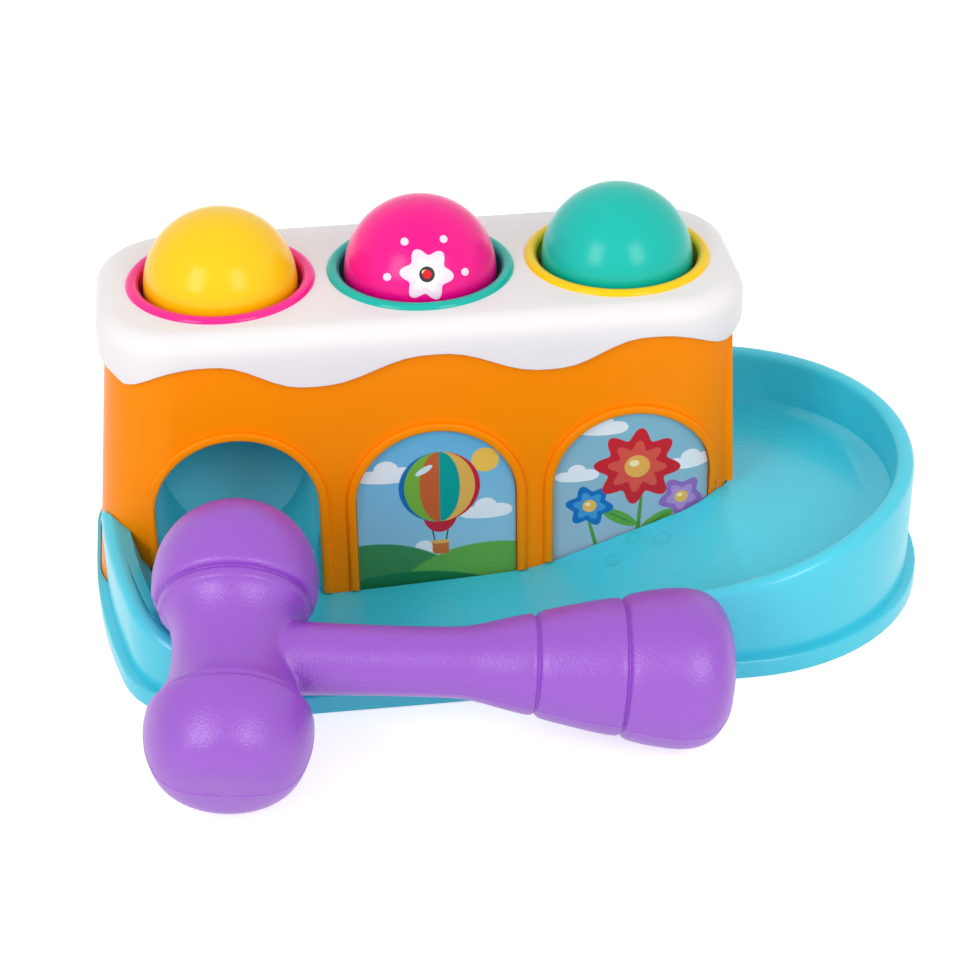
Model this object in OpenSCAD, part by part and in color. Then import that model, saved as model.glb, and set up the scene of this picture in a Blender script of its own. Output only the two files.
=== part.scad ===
// Ball pounding bench: three balls sit in grip rings on an arched tower, and a mallet
// knocks them through on to a track that runs down round the tower's right end.
// Millimetres, +Z up. The origin is on the ground under the middle ball.

/* [Balls and rings] */
// Ball radius
ball_r = 23; // [20:0.5:26]
// Distance between neighbouring balls
pitch = 60; // [54:1:70]
// Height of the ball centres at rest
ball_z = 95; // [80:1:110]
// Wall of the hollow balls and of the mallet
shell_t = 1.6; // [1:0.1:3]
// Inner radius of the coloured collars
ring_in_r = 24.6; // [24:0.1:26]
// Outer radius of the coloured collars
ring_out_r = 28.3; // [27:0.1:30]
// Height of the collar lip above the deck
ring_lip_h = 1.5; // [1:0.1:3]

/* [Cap] */
// Height of the deck's top face
deck_z = 96; // [85:1:110]
// Left end of the cap
cap_xl = 97.4; // [95:0.2:104]
// Right end of the cap
cap_xr = 96; // [95:0.2:104]
// Half depth of the cap
cap_hy = 36.6; // [35:0.2:42]
// Corner radius of the cap in plan
cap_r = 24; // [15:1:34]
// Rounding of the cap's top edge
cap_fillet = 6; // [2:0.5:10]
// Wall of the cap
cap_t = 1.4; // [1.2:0.1:3]

/* [Tower] */
// Half depth of the tower
tower_hy = 34.5; // [32:0.5:40]
// Right end of the tower's rounded corners
tower_xr = 95.5; // [90:0.5:99]
// Flat cut of the tower's right end
tower_end = 93.6; // [90:0.2:99]
// Left end of the tower at the cap
tower_xl = 96.2; // [90:0.2:97]
// Lean of the left end, wider towards the base
tower_lean = 5.8; // [0:0.1:8]
// Corner radius of the tower in plan
tower_r = 22; // [12:1:30]
// Wall of the tower
tower_t = 2.4; // [1.6:0.1:3.5]
// Top of the tower wall, inside the cap
tower_top = 89; // [85:0.5:92]
// Half width of the three front arches
arch_hw = 24.5; // [23.5:0.1:26]
// Height of the left arch's centre
arch_z_left = 36.2; // [30:0.1:40]
// Height of the middle arch's centre
arch_z_middle = 34.6; // [30:0.1:40]
// Height of the right arch's centre
arch_z_right = 35.7; // [30:0.1:40]
// Width of the raised arch rims
rim_w = 2.7; // [1.5:0.1:4]
// Height of the arch rims off the wall
rim_h = 1.5; // [0.5:0.1:2.5]
// Half width of the exit in the right end
exit_hw = 26.2; // [24:0.1:28]
// Top of the exit, hidden behind the cap
exit_top = 84; // [76:0.5:86]
// Thickness of the flanges beside the exit
exit_flange_t = 1.6; // [1:0.1:3]

/* [Base and track] */
// Centre of the round right end, along X
end_x = 87.2; // [80:0.2:95]
// Centre of the round right end, along Y
end_y = -26.5; // [-35:0.5:-15]
// Radius of the flange at the round right end
end_r = 63.65; // [55:0.05:72]
// Radius of the bowed left end
left_r = 222; // [150:1:400]
// Centre of the bowed left end, along X
left_x = 117.3; // [60:0.1:280]
// Centre of the bowed left end, along Y
left_y = -9.25; // [-20:0.05:10]
// Radius of the flange's front left corner
corner_r = 30.7; // [15:0.1:45]
// Height of the flange
flange_h = 5.8; // [4:0.1:9]
// Width of the ledge on the flange
ledge_w = 3; // [1:0.1:5]
// Width of the rounded fence
fence_w = 6; // [4:0.1:8]
// Wall of the base
base_t = 2; // [1.4:0.1:3]
// Thickness of the pad under the tower
pad_t = 3; // [2:0.1:4]

/* [Mallet] */
// Radius of the mallet's two striking ends
head_r = 23; // [18:0.5:27]
// Tilt of the head, lying across the fence
head_tilt = 24.1; // [0:0.1:35]
// Turn of the mallet seen from above
head_turn = -4.1; // [-20:0.1:20]
// Droop of the handle from head to butt
handle_droop = 4.85; // [0:0.1:15]
// Place of the head's middle along X
mallet_x = -64.5; // [-75:0.1:-50]
// Place of the head's middle along Y
mallet_y = -104.2; // [-115:0.1:-95]
// Height of the head's middle
mallet_z = 32.8; // [32:0.1:60]

/* [Hidden] */
$fn = 96;
eps = 0.01;
// Clearance round pieces that sit inside each other, and under pieces that stand on each other
gap = 0.3;
seat = 0.05;
reach = 160;
tower_zb = pad_t + 0.2;
// Height at which tower_xl holds
lean_z = 76;
arch_x = [-pitch, 0, pitch];
arch_z = [arch_z_left, arch_z_middle, arch_z_right];
// Extra radius that carries the leaning corners just past the flat faces
blend = 0.2;
// Feet of each arch rim, left and right, just clear of the track floor
rim_feet = [[3.9, 4.1], [4.1, 7], [9.2, 29.4]];
exit_low = 26;
// Flange beside the exit, seen from the front: X and height
exit_flange = [[86.5, 29.3], [92.9, 29.3], [90.3, 84], [86.5, 84]];
front_y = end_y - end_r;
back_y = end_y + end_r;
corner_y = front_y + corner_r;
corner_x = left_x - sqrt(pow(left_r - corner_r, 2) - pow(corner_y - left_y, 2));
corner_a = 360 + atan2(corner_y - left_y, corner_x - left_x);
left_stop_a = 180 + asin((20 + left_y) / left_r);
rear_r = 24;
rear_y = back_y - rear_r;
rear_x = left_x - left_r + rear_r;
fence_start_x = 84;
arc_steps = 34;
front_steps = 22;
corner_steps = 9;
left_steps = 4;
// Height of the fence's crest round the right end by angle, along the front by X,
// and round the front left corner by angle
crest_arc = [[-90, 30.5], [-80, 33], [-67, 36], [-50, 39.2], [-25, 42], [0, 43.6], [15, 44.5], [30, 44.7]];
crest_front = [[-72, 19.4], [-40, 19.3], [0, 20], [30, 22.3], [60, 26.3], [87.2, 30.5]];
crest_left = [[184, 31], [195, 28.5], [215, 26], [240, 22.2], [258, 19.9], [270, 19.4]];
// Height of the track floor beside the tower and beside the fence
floor_in_front = [
    [-72, 3.5], [-30, 3.6], [27, 6.5], [34, 8.4], [42, 11.6], [76, 25.3], [83, 27.8], [88, 28.7]
];
floor_out_front = [[-72, 3.4], [-30, 3.6], [0, 5], [34, 8.2], [60, 12], [87.2, 17.5]];
floor_in_arc = 28.7;
floor_out_arc = [[-90, 17.5], [-60, 21], [-30, 23.5], [0, 25], [20, 25.4], [90, 25.6]];
floor_low = 3.4;
floor_t = 2.5;
// Strip of track floor that lies in the open arch
sill_w = 4;
// Wavy lower edge of the cap: X and height of its turning points, and how round each trough is
wave_pts = [
    [-99, 82.2, 1], [-89.9, 79.3, 0.6], [-66, 86.2, 1], [-35.6, 77.6, 1], [0.3, 85.6, 1],
    [34, 78, 1], [65, 86.4, 1], [88.2, 80.5, 0.65], [98, 82.4, 1]
];
wave_steps = 8;
// Below the whole wave, where the cap's solid starts
skirt_low = 70;
deck_t = 2.4;
// Sockets under the deck that hold the collars and grips
socket_low = ball_z - 11.6;
socket_floor = 1.6;
socket_r = ring_out_r - 1.7;
socket_t = 2;
collar_low = ball_z - 5;
grip_low = ball_z - 9.9;
grip_lip = 1.6;
cap_hx = (cap_xl + cap_xr) / 2;
base_bosses = [[-29.5, -27], [30, -27], [-94, -14], [-29.5, 27], [30, 27], [-94, 14]];
boss_z = 7.6;
boss_r = 4.6;
// Seat of the base screws' heads, sunk into the underside
base_head_z = 4;
shell_posts = [[-29.5, 21], [30, 21], [-29.5, 67.5], [90, 14]];
cap_posts = [[-29.5, -26.5], [30, -26.5], [-29.5, 26.5], [30, 26.5]];
tab_z = 78;
tab_t = 3;
tab_r = 4.5;
post_r = 3.5;
rear_post_r = 4.2;
// Posts over the base bosses, and the ribs that tie them to the walls
foot_post_h = 18;
rib_t = 2;
rib_h = 12;
left_rib = 6.8;
// Depth of the two posts beside the exit
end_post_y = 20;
// Seat of the shell screws' heads, and the front end of their holes
shell_head_y = 8;
shell_hole_y = -14;
vent_r = 0.9;
// Picture panels: clearance, wall, and how far their face and label lie behind the tower's face
panel_gap = 0.15;
panel_t = 1.55;
panel_sink = 0.9;
label_t = 0.2;
screw_r = 1.4;
screw_head_r = 2.5;
screw_head_h = 2;
chute_r = 24.6;
chute_t = 1.8;
chute_floor = 5.4;
chute_slope = 2.5;
chute_top = 62;
// Flange that closes the corners of the open arch round the trough
chute_flange_hw = 26.7;
chute_flange_z = 26;
// A point on the chute's slanted back, its slope, and the ribs that prop it
back_y0 = 5;
back_z0 = 9.9;
back_slope = 57;
prop_x = 14;
prop_l = 20;
ramp_x0 = -25;
ramp_stop_t = 1.6;
ramp_x1 = 92.6;
ramp_z0 = 34.4;
ramp_z1 = 29.3;
// Where the ramp narrows towards the exit
ramp_neck = [76, 86];
// Stop at the ramp's head and ribs under it
ramp_stop_top = 58;
ramp_ribs = [18, 56];
ramp_rib_hy = 22;

// Height of the ramp's top
function ramp_z(x) = ramp_z0 + (ramp_z1 - ramp_z0) * (x - ramp_x0) / (ramp_x1 - ramp_x0);

// Height from a table, eased over the points on both sides
function eased(x, table, w) = [for (k = [-2 : 2]) lookup(x + k * w, table)] * [1, 2, 3, 2, 1] / 9;

// Points on an arc
function arc(cx, cy, r, a0, a1, n) = [
    for (k = [0 : n]) let (a = a0 + (a1 - a0) * k / n) [cx + r * cos(a), cy + r * sin(a)]
];

// The fence's way round the base, d inside the flange's edge
function path(d) = concat(
    [[fence_start_x, back_y - d]],
    arc(end_x, end_y, end_r - d, 90, -90, arc_steps),
    [for (k = [1 : front_steps - 1]) [end_x + (corner_x - end_x) * k / front_steps, front_y + d]],
    arc(corner_x, corner_y, corner_r - d, 270, corner_a, corner_steps),
    [for (k = [1 : left_steps]) let (a = corner_a + (left_stop_a - corner_a) * k / left_steps)
        [left_x + (left_r - d) * cos(a), left_y + (left_r - d) * sin(a)]]
);

// The whole base's edge, d inside the flange's edge
function outline(d) = concat(
    path(d),
    [[left_x - left_r + d, left_y]],
    arc(rear_x, rear_y, rear_r - d, 180, 90, 9)
);

// Angles of the stations round the right end
arc_a = [for (k = [0 : arc_steps]) 90 - 180 * k / arc_steps];
front_x = [for (k = [1 : front_steps - 1]) end_x + (corner_x - end_x) * k / front_steps];
corner_as = [for (k = [0 : corner_steps]) 270 + (corner_a - 270) * k / corner_steps];
left_as = [for (k = [1 : left_steps]) corner_a + (left_stop_a - corner_a) * k / left_steps];

// Height of the crest at each station of the path
crest = concat(
    [lookup(90, crest_arc)],
    [for (a = arc_a) eased(a, crest_arc, 5)],
    [for (x = front_x) eased(x, crest_front, 6)],
    [for (a = corner_as) eased(a, crest_left, 5)],
    [for (a = left_as) eased(a, crest_left, 3)]
);

// Edge of the track floor inside the tower: from behind the exit, round to the front, along it and
// back a little at the left end
floor_rear = [80, 20];
floor_turn = [88, -28];
left_creep = 0.6;
floor_in = concat(
    [[floor_rear[0] - 1, floor_rear[1] + 2, floor_in_arc]],
    [for (k = [0 : arc_steps]) let (u = k / arc_steps, d = floor_turn - floor_rear)
        [floor_rear[0] + d[0] * u * u, floor_rear[1] + d[1] * u, floor_in_arc]],
    [for (x = front_x) [x, floor_turn[1], eased(x, floor_in_front, 4)]],
    [for (k = [0 : corner_steps]) [corner_x + k * left_creep, floor_turn[1], floor_low]],
    [for (k = [1 : left_steps]) [corner_x + corner_steps * left_creep, floor_turn[1] + 2 * k, floor_low]]
);

// How far the floor sweeps up into the fence at each station: 0 along the track, 1 at the left end
sweep_up = concat(
    [for (k = [0 : arc_steps + front_steps]) 0],
    [for (k = [0 : corner_steps]) let (u = k / corner_steps) u * u * (3 - 2 * u)],
    [for (k = [1 : left_steps]) 1]
);
// Place across the floor, its rise at the fence along the track, and its rise at the left end
floor_rows = [
    [0, 0, 0], [0.3, 0, 1.2], [0.6, 0, 8.5], [0.77, 0, 13.8], [0.84, 0.2, 16.6], [0.91, 0.7, 26], [1, 4, 27.4]
];

// Height of the track floor beside the fence at each station
floor_out_z = concat(
    [lookup(90, floor_out_arc)],
    [for (a = arc_a) eased(a, floor_out_arc, 6)],
    [for (x = front_x) eased(x, floor_out_front, 6)],
    [for (k = [0 : corner_steps + left_steps]) floor_low]
);

// Smooth step from 0 to 1, level at both ends
function smooth(u) = u * u * u * (u * (6 * u - 15) + 10);

// Height of the wave between two turning points, u from the first to the second
function wave_z(p, q, u) = p[1] < q[1]
    ? p[1] + (q[1] - p[1]) * smooth(pow(u, p[2]))
    : q[1] + (p[1] - q[1]) * smooth(pow(1 - u, q[2]));

// Wave through its turning points
wave_end = wave_pts[len(wave_pts) - 1];
wave = concat(
    [for (k = [0 : len(wave_pts) - 2]) for (s = [0 : wave_steps - 1])
        let (u = s / wave_steps, p = wave_pts[k], q = wave_pts[k + 1])
        [p[0] + (q[0] - p[0]) * u, wave_z(p, q, u)]],
    [[wave_end[0], wave_end[1]]]
);

// Sheet between two grids of points, outer and inner, station by station
module ribbon(outer, inner) {
    m = len(outer);
    n = len(outer[0]);
    all = concat([for (s = outer) each s], [for (s = inner) each s]);
    b = m * n;
    corners = [for (i = [0 : m - 2]) for (j = [0 : n - 2]) i * n + j];
    polyhedron(points = all, faces = concat(
        [for (c = corners) [c, c + 1, c + n + 1]],
        [for (c = corners) [c, c + n + 1, c + n]],
        [for (c = corners) [b + c, b + c + n + 1, b + c + 1]],
        [for (c = corners) [b + c, b + c + n, b + c + n + 1]],
        [for (i = [0 : m - 2]) [i * n, i * n + n, b + i * n + n]],
        [for (i = [0 : m - 2]) [i * n, b + i * n + n, b + i * n]],
        [for (i = [0 : m - 2]) [i * n + n - 1, b + i * n + 2 * n - 1, i * n + 2 * n - 1]],
        [for (i = [0 : m - 2]) [i * n + n - 1, b + i * n + n - 1, b + i * n + 2 * n - 1]],
        [for (j = [0 : n - 2]) [j, b + j, b + j + 1]],
        [for (j = [0 : n - 2]) [j, b + j + 1, j + 1]],
        [for (j = [0 : n - 2]) [b - n + j, 2 * b - n + j + 1, 2 * b - n + j]],
        [for (j = [0 : n - 2]) [b - n + j, b - n + j + 1, 2 * b - n + j + 1]]
    ));
}

// Fence points from the inner foot over the crest to the outer foot, station by station
function fence_grid(r) = let (paths = [for (a = [0 : 30 : 180]) path(ledge_w + fence_w / 2 + r * cos(a))])
    [for (i = [0 : len(crest) - 1]) concat(
        [[paths[0][i][0], paths[0][i][1], 0]],
        [for (j = [0 : 6]) [paths[j][i][0], paths[j][i][1], crest[i] - fence_w / 2 + r * sin(30 * j)]],
        [[paths[6][i][0], paths[6][i][1], 0]]
    )];

module fence() {
    ribbon(fence_grid(fence_w / 2), fence_grid(fence_w / 2 - base_t));
}

module track_floor() {
    rail = path(ledge_w + fence_w - base_t / 2);
    top = [for (i = [0 : len(crest) - 1]) [for (row = floor_rows)
        floor_in[i] * (1 - row[0]) + [rail[i][0], rail[i][1], floor_out_z[i]] * row[0]
        + [0, 0, row[1] * (1 - sweep_up[i]) + row[2] * sweep_up[i]]]];
    under = [for (s = top) [for (p = s) [p[0], p[1], p[2] - floor_t]]];
    ribbon(top, under);
}

// Tower plan with its rounded right end, running on past the left end
module right_plan(o) {
    inner_hy = tower_hy - tower_r;
    intersection() {
        union() {
            translate([-reach, -tower_hy - o]) square([tower_xr - tower_r + reach, 2 * (tower_hy + o)]);
            translate([-reach, -inner_hy]) square([tower_xr + o + reach, 2 * inner_hy]);
            for (s = [-1, 1]) translate([tower_xr - tower_r, s * inner_hy]) circle(tower_r + o);
        }
        translate([-2 * reach, -reach]) square([tower_end + o + 2 * reach, 2 * reach]);
    }
}

// Plan of the leaning left end, from that end
module left_plan(o) {
    inner_hy = tower_hy - tower_r;
    r = tower_r + blend + o;
    translate([tower_r + blend, -inner_hy - r]) square([2 * reach, 2 * (inner_hy + r)]);
    translate([-o, -inner_hy]) square([2 * reach, 2 * inner_hy]);
    for (s = [-1, 1]) translate([tower_r + blend, s * inner_hy]) circle(r);
}

// Solid body of the tower, o outside its face
module tower_body(o, z0, z1) {
    intersection() {
        translate([0, 0, z0]) linear_extrude(height = z1 - z0) right_plan(o);
        translate([-tower_xl, 0, lean_z]) rotate([0, tower_lean, 0]) translate([0, 0, -reach])
            linear_extrude(height = 2 * reach) left_plan(o);
    }
}

module tower_tube(o_out, z0, z1) {
    difference() {
        tower_body(o_out, z0, z1);
        tower_body(-tower_t, z0 - 1, z1 + 1);
    }
}

// Arch outline with its centre at x, from height z0
module arch_2d(x, hw, cz, z0) {
    translate([x, cz]) circle(hw);
    translate([x - hw, z0]) square([2 * hw, cz - z0]);
}

// Raised rim outline of an arch, with its feet at two heights
module arch_rim_2d(x, hw, w, cz, feet) {
    difference() {
        union() {
            translate([x, cz]) circle(hw + w);
            translate([x - hw - w, feet[0]]) square([hw + w, cz - feet[0]]);
            translate([x, feet[1]]) square([hw + w, cz - feet[1]]);
        }
        arch_2d(x, hw, cz, 0);
        translate([x - hw - w - 1, -1]) square([hw + w + 1, feet[0] + 1]);
        translate([x, -1]) square([hw + w + 1, feet[1] + 1]);
    }
}

// Stands a front outline up across the tower's front wall
module through_front() {
    translate([0, -tower_hy / 2, 0]) rotate([90, 0, 0]) linear_extrude(height = tower_hy) children();
}

// One half of the tower: s is -1 for the front and 1 for the rear
module shell_half(s) {
    difference() {
        union() {
            intersection() {
                tower_tube(0, tower_zb, tower_top);
                translate([-reach, s < 0 ? -reach : 0, 0]) cube([2 * reach, reach, reach]);
            }
            translate([0, s > 0 ? exit_hw + exit_flange_t : -exit_hw, 0]) rotate([90, 0, 0])
                linear_extrude(height = exit_flange_t) polygon(exit_flange);
            for (p = base_bosses) if (p[1] * s > 0) {
                translate([p[0], p[1], boss_z + 0.2]) cylinder(r = post_r, h = foot_post_h);
                if (p[0] < -pitch)
                    translate([p[0] - left_rib, p[1] - rib_t / 2, boss_z + rib_t])
                        cube([left_rib, rib_t, rib_h]);
                else
                    translate([p[0] - rib_t / 2, s > 0 ? p[1] : -tower_hy + 1, boss_z + rib_t])
                        cube([rib_t, tower_hy - 1 - abs(p[1]), rib_h]);
            }
            for (p = shell_posts) {
                y1 = p[0] > pitch ? end_post_y : tower_hy - 1;
                translate([p[0], s > 0 ? 0.1 : -y1, p[1]]) rotate([-90, 0, 0])
                    cylinder(r = s > 0 && p[0] < pitch ? rear_post_r : post_r, h = y1 - 0.1);
            }
            for (p = cap_posts) if (p[1] * s > 0) {
                translate([p[0], p[1], tab_z]) cylinder(r = tab_r, h = tab_t);
                translate([p[0] - tab_r, s > 0 ? p[1] : -tower_hy + 1, tab_z])
                    cube([2 * tab_r, tower_hy - 1 - abs(p[1]), tab_t]);
            }
        }
        if (s < 0) {
            for (k = [0 : 2]) through_front() arch_2d(arch_x[k], arch_hw, arch_z[k], 0);
        }
        difference() {
            wave_side(gap, deck_z);
            cap_solid(cap_t + gap, deck_t);
        }
        translate([tower_xr - tower_r, -exit_hw, exit_low]) cube([reach, 2 * exit_hw, exit_top - exit_low]);
        for (p = base_bosses) translate([p[0], p[1], 0])
            cylinder(r = screw_r + 0.1, h = boss_z + foot_post_h - 2);
        for (p = cap_posts) translate([p[0], p[1], tab_z - 1]) cylinder(r = screw_r + 0.2, h = tab_t + 2);
        for (p = shell_posts) {
            translate([p[0], shell_hole_y, p[1]]) rotate([-90, 0, 0])
                cylinder(r = screw_r + 0.1, h = reach);
            translate([p[0], shell_head_y, p[1]]) rotate([-90, 0, 0])
                cylinder(r = screw_head_r + gap, h = reach);
        }
    }
}

// Raised rim of an arch, g larger all round
module arch_rim(k, g) {
    difference() {
        intersection() {
            tower_body(rim_h + g, tower_zb - g, tower_top);
            through_front()
                arch_rim_2d(arch_x[k], arch_hw - g, rim_w + 2 * g, arch_z[k], rim_feet[k] - [g, g]);
        }
        tower_body(-tower_t / 2, 0, deck_z);
    }
}

module tower_front_shell() {
    color("darkorange") {
        shell_half(-1);
        for (k = [0 : 2]) arch_rim(k, 0);
    }
}

module tower_rear_shell() {
    color("darkorange") shell_half(1);
}

module track_base() {
    color("deepskyblue") difference() {
        union() {
            difference() {
                union() {
                    fence();
                    track_floor();
                    difference() {
                        linear_extrude(height = flange_h) polygon(outline(0));
                        translate([0, 0, -1]) linear_extrude(height = flange_h + 2)
                            polygon(outline(ledge_w + base_t));
                    }
                }
                difference() {
                    tower_body(gap, pad_t - 0.5, deck_z);
                    translate([-pitch - arch_hw + gap, -tower_hy - rim_h - 0.5, 0])
                        cube([2 * (arch_hw - gap), sill_w, floor_low + gap]);
                }
                for (k = [0 : 2]) arch_rim(k, gap);
            }
            linear_extrude(height = pad_t) intersection() {
                polygon(outline(ledge_w));
                translate([-reach, -tower_hy - rim_h - 0.5]) square([reach + tower_xr + rim_h, reach]);
            }
            for (p = base_bosses) translate([p[0], p[1], 0]) cylinder(r = boss_r, h = boss_z);
        }
        for (p = base_bosses) {
            translate([p[0], p[1], -1]) cylinder(r = screw_r + 0.3, h = boss_z + 2);
            translate([p[0], p[1], -1]) cylinder(r = screw_head_r + gap, h = base_head_z + 1);
        }
    }
}

// Depth of the chute's slanted back at a height, t behind its face
function chute_back(z, t) = back_y0 + t / sin(back_slope) + (z - back_z0) / tan(back_slope);

// U-shaped trough of the chute, open at the top, that ends t behind the slanted back
module chute_trough(r, t) {
    high = chute_top + 5;
    intersection() {
        translate([-pitch, 0, chute_floor + chute_r]) rotate([90 + chute_slope, 0, 0])
            linear_extrude(height = 3 * tower_hy, center = true) {
                circle(r);
                translate([-r, 0]) square([2 * r, high]);
            }
        rotate([90, 0, 90]) translate([0, 0, -pitch - tower_hy]) linear_extrude(height = 2 * tower_hy)
            polygon([[-tower_hy, 0], [chute_back(0, t), 0], [chute_back(high, t), high], [-tower_hy, high]]);
    }
}

module ball_chute() {
    outer_r = chute_r + chute_t;
    color("deepskyblue") difference() {
        intersection() {
            union() {
                chute_trough(outer_r, chute_t);
                translate([-pitch - chute_flange_hw, -tower_hy, 0])
                    cube([2 * chute_flange_hw, tower_t + gap + chute_t, chute_flange_z]);
                for (x = [-prop_x, prop_x])
                    rotate([90, 0, 90]) translate([0, 0, -pitch + x - rib_t / 2])
                        linear_extrude(height = rib_t) polygon([
                            [back_y0, 0], [back_y0 + prop_l, 0],
                            [back_y0 + prop_l, back_z0 + prop_l * tan(back_slope) - 1], [back_y0, back_z0 - 1]
                        ]);
            }
            tower_body(-tower_t - gap, pad_t + seat, chute_top);
        }
        chute_trough(chute_r, 0);
    }
}

module inner_ramp() {
    hy = tower_hy - tower_t - 2.4;
    tongue_hy = exit_hw - 1.2;
    color("deepskyblue") {
        intersection() {
            translate([0, hy, 0]) rotate([90, 0, 0]) linear_extrude(height = 2 * hy) polygon([
                [ramp_x0, ramp_z0], [ramp_x1, ramp_z1],
                [ramp_x1, ramp_z1 - base_t], [ramp_x0, ramp_z0 - base_t]
            ]);
            linear_extrude(height = deck_z) for (s = [0, 1]) mirror([0, s]) polygon([
                [ramp_x0, 0], [ramp_x0, hy], [ramp_neck[0], hy], [ramp_neck[1], tongue_hy],
                [ramp_x1, tongue_hy], [ramp_x1, 0]
            ]);
            tower_body(-gap, 0, deck_z);
        }
        translate([ramp_x0, -ramp_rib_hy, pad_t + seat])
            cube([ramp_stop_t, 2 * ramp_rib_hy, ramp_stop_top - pad_t]);
        for (x = ramp_ribs) translate([x, -ramp_rib_hy, pad_t + seat])
            cube([base_t, 2 * ramp_rib_hy, ramp_z(x) - base_t / 2 - pad_t]);
    }
}

// Plan-rounded slab with its top edge rounded
module pillow_profile(w, f, z0, z1) {
    translate([0, z0]) square([w, z1 - f - z0]);
    translate([0, z0]) square([w - f, z1 - z0]);
    translate([w - f, z1 - f]) circle(f);
}

module pillow(hx, hy, r, f, z0, z1) {
    for (s = [0, 1]) mirror([s, 0, 0]) for (t = [0, 1]) mirror([0, t, 0])
        translate([hx - r, hy - r, 0]) rotate_extrude(angle = 90) pillow_profile(r, f, z0, z1);
    for (t = [0, 1]) mirror([0, t, 0])
        translate([-hx + r, hy - r, 0]) rotate([90, 0, 90]) linear_extrude(height = 2 * (hx - r))
            pillow_profile(r, f, z0, z1);
    for (s = [0, 1]) mirror([s, 0, 0])
        translate([hx - r, hy - r, 0]) rotate([90, 0, 0]) linear_extrude(height = 2 * (hy - r))
            pillow_profile(r, f, z0, z1);
    translate([-hx + r, -hy + r, z0]) cube([2 * (hx - r), 2 * (hy - r), z1 - z0]);
}

// Solid of the cap, d inside its face and as far below its deck as top says
module cap_solid(d, top) {
    translate([(cap_xr - cap_xl) / 2, 0, 0])
        pillow(cap_hx - d, cap_hy - d, cap_r - d, cap_fillet - d, skirt_low - d, deck_z - top);
}

// Everything between the wave, lowered by g, and the height z
module wave_side(g, z) {
    translate([0, reach / 2, 0]) rotate([90, 0, 0]) linear_extrude(height = reach) polygon(concat(
        [[-reach, z], [-reach, wave[0][1] - g]],
        [for (p = wave) [p[0], p[1] - g]],
        [[reach, wave_end[1] - g], [reach, z]]
    ));
}

module top_cap() {
    post_low = tab_z + tab_t;
    color("white") difference() {
        union() {
            difference() {
                cap_solid(0, 0);
                cap_solid(cap_t, deck_t);
                wave_side(0, skirt_low - 10);
            }
            for (x = arch_x)
                translate([x, 0, socket_low]) cylinder(r = socket_r + socket_t, h = deck_z - 1 - socket_low);
            for (p = cap_posts)
                translate([p[0], p[1], post_low]) cylinder(r = post_r, h = deck_z - 1 - post_low);
        }
        for (x = arch_x) {
            translate([x, 0, socket_low + socket_floor]) cylinder(r = socket_r, h = deck_z);
            translate([x, 0, socket_low - 1]) cylinder(r = ring_in_r, h = deck_z);
        }
        for (p = cap_posts) translate([p[0], p[1], tab_z]) cylinder(r = screw_r + 0.1, h = 12.5);
    }
}

module ring(x, shade) {
    neck_r = socket_r - 0.2;
    lip_r = (ring_out_r - ring_in_r) / 2;
    color(shade) translate([x, 0, 0]) rotate_extrude() {
        translate([ring_in_r, collar_low]) square([neck_r - ring_in_r, deck_z - collar_low + 0.2]);
        intersection() {
            translate([ring_in_r + lip_r, deck_z + ring_lip_h - lip_r]) circle(lip_r);
            translate([ring_in_r, deck_z]) square(2 * lip_r);
        }
    }
}

module grip(x) {
    outer = socket_r - gap;
    inner = ring_in_r + 0.5;
    top = collar_low - 0.2;
    color("dimgray") translate([x, 0, 0]) rotate_extrude() polygon([
        [outer, grip_low], [outer, top], [inner, top],
        [ball_r + gap, top - grip_lip], [ball_r + gap, top - 1.5 * grip_lip], [inner, grip_low]
    ]);
}

module ball(x, shade) {
    color(shade) translate([x, 0, ball_z]) difference() {
        sphere(ball_r);
        sphere(ball_r - shell_t);
        translate([0, 0, -ball_r - 1]) cylinder(r = vent_r, h = ball_r);
    }
}

// Layer that follows the tower's face behind an arch, wider than the arch by w, between two depths
module arch_layer(k, w, d0, d1) {
    low = tower_zb + 0.4;
    difference() {
        intersection() {
            tower_body(-d0, low, tower_top);
            through_front() arch_2d(arch_x[k], arch_hw + w, arch_z[k], low);
        }
        tower_body(-d1, 0, deck_z);
    }
}

// Picture panel: a plate behind the wall with a step that fills the arch
module panel(k) {
    color("whitesmoke") {
        arch_layer(k, 1.5, tower_t + panel_gap, tower_t + panel_gap + panel_t);
        arch_layer(k, panel_gap - 0.4, panel_sink, tower_t + panel_gap + panel_t / 2);
    }
}

// Printed label on a picture panel
module label(k) {
    color("lightblue") arch_layer(k, panel_gap - 0.5, panel_sink - label_t - eps, panel_sink - eps);
}

module screw(length) {
    cylinder(r = screw_head_r, h = screw_head_h);
    translate([0, 0, screw_head_h - eps]) cylinder(r = screw_r, h = length);
}

module base_screws() {
    color("silver") for (p = base_bosses)
        translate([p[0], p[1], base_head_z - screw_head_h - seat]) screw(14);
}

module shell_screws() {
    color("silver") for (p = shell_posts)
        translate([p[0], shell_head_y + screw_head_h + seat, p[1]]) rotate([90, 0, 0]) screw(20);
}

module cap_screws() {
    color("silver") for (p = cap_posts)
        translate([p[0], p[1], tab_z - screw_head_h - seat]) screw(12);
}

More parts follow.
